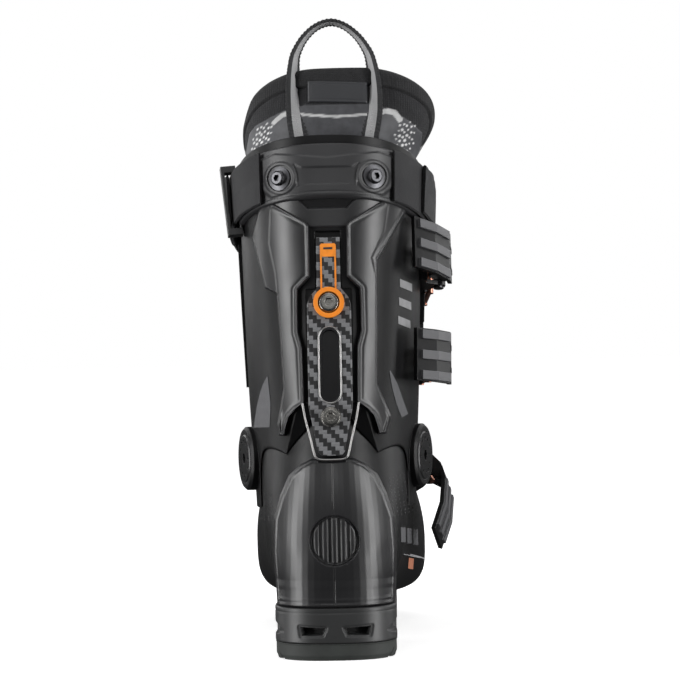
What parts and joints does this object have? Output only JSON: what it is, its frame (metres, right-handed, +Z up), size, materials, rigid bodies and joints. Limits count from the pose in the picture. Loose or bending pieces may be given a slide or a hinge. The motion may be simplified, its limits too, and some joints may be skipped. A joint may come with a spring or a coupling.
{
  "type": "alpine ski boot",
  "caption": "Right-foot alpine ski boot: hinged cuff on a moulded shell, spine plate, ratchet buckles, power strap, padded liner and bolt-on soles.",
  "frame": {"origin": "centre of the heel tread, on the ground", "axes": "+X to the wearer's right (the lateral side of this right boot), +Y towards the toe, +Z up"},
  "size_m": [0.1384, 0.3026, 0.365],
  "materials": {
    "carbon_plate": "woven carbon look, clear coated",
    "copper_wire": "copper coloured, satin",
    "dark_metal": "dark anodised",
    "foam": "compressed foam",
    "liner_fabric": "knit and mesh padding",
    "orange_plastic": "bright orange ring",
    "pull_webbing": "black edged webbing with a grey stripe",
    "shell_black": "moulded, satin",
    "shell_grey": "moulded, fine grain",
    "silver_metal": "satin",
    "sole_plastic": "moulded, rough",
    "steel": "zinc plated",
    "tread_rubber": "matte",
    "webbing": "woven strap"
  },
  "bodies": {
    "lower_shell": {"lower_shell": "shell_black", "instep_flap": "shell_black", "heel_panel": "shell_grey", "heel_sole_block": "sole_plastic", "heel_tread": "tread_rubber", "toe_sole_block": "sole_plastic", "toe_tread": "tread_rubber", "sole_screws": "steel", "boot_board": "sole_plastic", "liner_foot": "liner_fabric", "footbed": "foam", "lateral_pivot_bolt": "steel", "medial_pivot_bolt": "steel", "lateral_pivot_washer": "sole_plastic", "medial_pivot_washer": "sole_plastic", "shell_rivets": "steel", "instep_buckle_base": "dark_metal", "instep_buckle_pins": "steel", "instep_buckle_ladder": "dark_metal"},
    "cuff": {"cuff": "shell_black", "cuff_front_flap": "shell_black", "cuff_back_panel": "shell_grey", "spine_plate": "carbon_plate", "spine_slot_liner": "silver_metal", "spine_ring": "orange_plastic", "spine_upper_screw": "dark_metal", "spine_lower_screw": "silver_metal", "power_strap_yoke": "shell_black", "power_strap": "webbing", "power_strap_tail": "webbing", "power_strap_loop": "shell_black", "strap_bolts": "dark_metal", "liner_cuff": "liner_fabric", "liner_tongue": "liner_fabric", "liner_pull_loop": "pull_webbing", "cuff_rivets": "steel", "upper_buckle_base": "dark_metal", "upper_buckle_pins": "steel", "upper_buckle_ladder": "dark_metal", "lower_buckle_base": "dark_metal", "lower_buckle_pins": "steel", "lower_buckle_ladder": "dark_metal"},
    "lateral_cant_disc": {"lateral_cant_disc": "dark_metal"},
    "medial_cant_disc": {"medial_cant_disc": "dark_metal"},
    "upper_buckle_lever": {"upper_buckle_lever": "dark_metal"},
    "upper_buckle_lug": {"upper_buckle_lug": "steel"},
    "upper_buckle_bail": {"upper_buckle_bail": "copper_wire"},
    "lower_buckle_lever": {"lower_buckle_lever": "dark_metal"},
    "lower_buckle_lug": {"lower_buckle_lug": "steel"},
    "lower_buckle_bail": {"lower_buckle_bail": "copper_wire"},
    "instep_buckle_lever": {"instep_buckle_lever": "dark_metal"},
    "instep_buckle_lug": {"instep_buckle_lug": "steel"},
    "instep_buckle_bail": {"instep_buckle_bail": "copper_wire"}
  },
  "joints": [
    {"name": "cuff_flex", "type": "hinge", "parent": "lower_shell", "child": "cuff", "pos_m": [0, 0.04, 0.113], "axis": [-1, 0, 0], "range_deg": [0, 8]},
    {"name": "lateral_cant_turn", "type": "hinge", "parent": "cuff", "child": "lateral_cant_disc", "pos_m": [0.054, 0.04, 0.113], "axis": [0.9613, -0.2756, 0], "range_deg": [-45, 45]},
    {"name": "medial_cant_turn", "type": "hinge", "parent": "cuff", "child": "medial_cant_disc", "pos_m": [-0.054, 0.04, 0.113], "axis": [-0.9613, -0.2756, 0], "range_deg": [-45, 45]},
    {"name": "upper_lever_turn", "type": "hinge", "parent": "cuff", "child": "upper_buckle_lever", "pos_m": [0.06452, 0.06332, 0.22467], "axis": [-0.0042, 0.2751, 0.9614], "range_deg": [0, 110]},
    {"name": "upper_lug_turn", "type": "hinge", "parent": "upper_buckle_lever", "child": "upper_buckle_lug", "pos_m": [0.0624, 0.05241, 0.22778], "axis": [-0.0042, 0.2751, 0.9614], "range_deg": [-101, 1]},
    {"name": "upper_bail_screw", "type": "slide", "parent": "upper_buckle_lug", "child": "upper_buckle_bail", "axis": [-0.1237, 0.9539, -0.2735], "range_m": [0, 0.0025]},
    {"name": "lower_lever_turn", "type": "hinge", "parent": "cuff", "child": "lower_buckle_lever", "pos_m": [0.06277, 0.06165, 0.16867], "axis": [0.0166, 0.0897, 0.9958], "range_deg": [0, 110]},
    {"name": "lower_lug_turn", "type": "hinge", "parent": "lower_buckle_lever", "child": "lower_buckle_lug", "pos_m": [0.06098, 0.05029, 0.16972], "axis": [0.0166, 0.0897, 0.9958], "range_deg": [-101, 1]},
    {"name": "lower_bail_screw", "type": "slide", "parent": "lower_buckle_lug", "child": "lower_buckle_bail", "axis": [-0.1521, 0.9846, -0.0861], "range_m": [0, 0.0025]},
    {"name": "instep_lever_turn", "type": "hinge", "parent": "lower_shell", "child": "instep_buckle_lever", "pos_m": [0.05292, 0.11604, 0.10849], "axis": [-0.1438, -0.8682, 0.4749], "range_deg": [0, 110]},
    {"name": "instep_lug_turn", "type": "hinge", "parent": "instep_buckle_lever", "child": "instep_buckle_lug", "pos_m": [0.05537, 0.11032, 0.09877], "axis": [-0.1438, -0.8682, 0.4749], "range_deg": [-101, 1]},
    {"name": "instep_bail_screw", "type": "slide", "parent": "instep_buckle_lug", "child": "instep_buckle_bail", "axis": [-0.4953, 0.4786, 0.725], "range_m": [0, 0.0025]}
  ],
  "couplings": [
    {"joint": "upper_lug_turn", "follows": "upper_lever_turn", "ratio": -0.909},
    {"joint": "lower_lug_turn", "follows": "lower_lever_turn", "ratio": -0.909},
    {"joint": "instep_lug_turn", "follows": "instep_lever_turn", "ratio": -0.909}
  ]
}
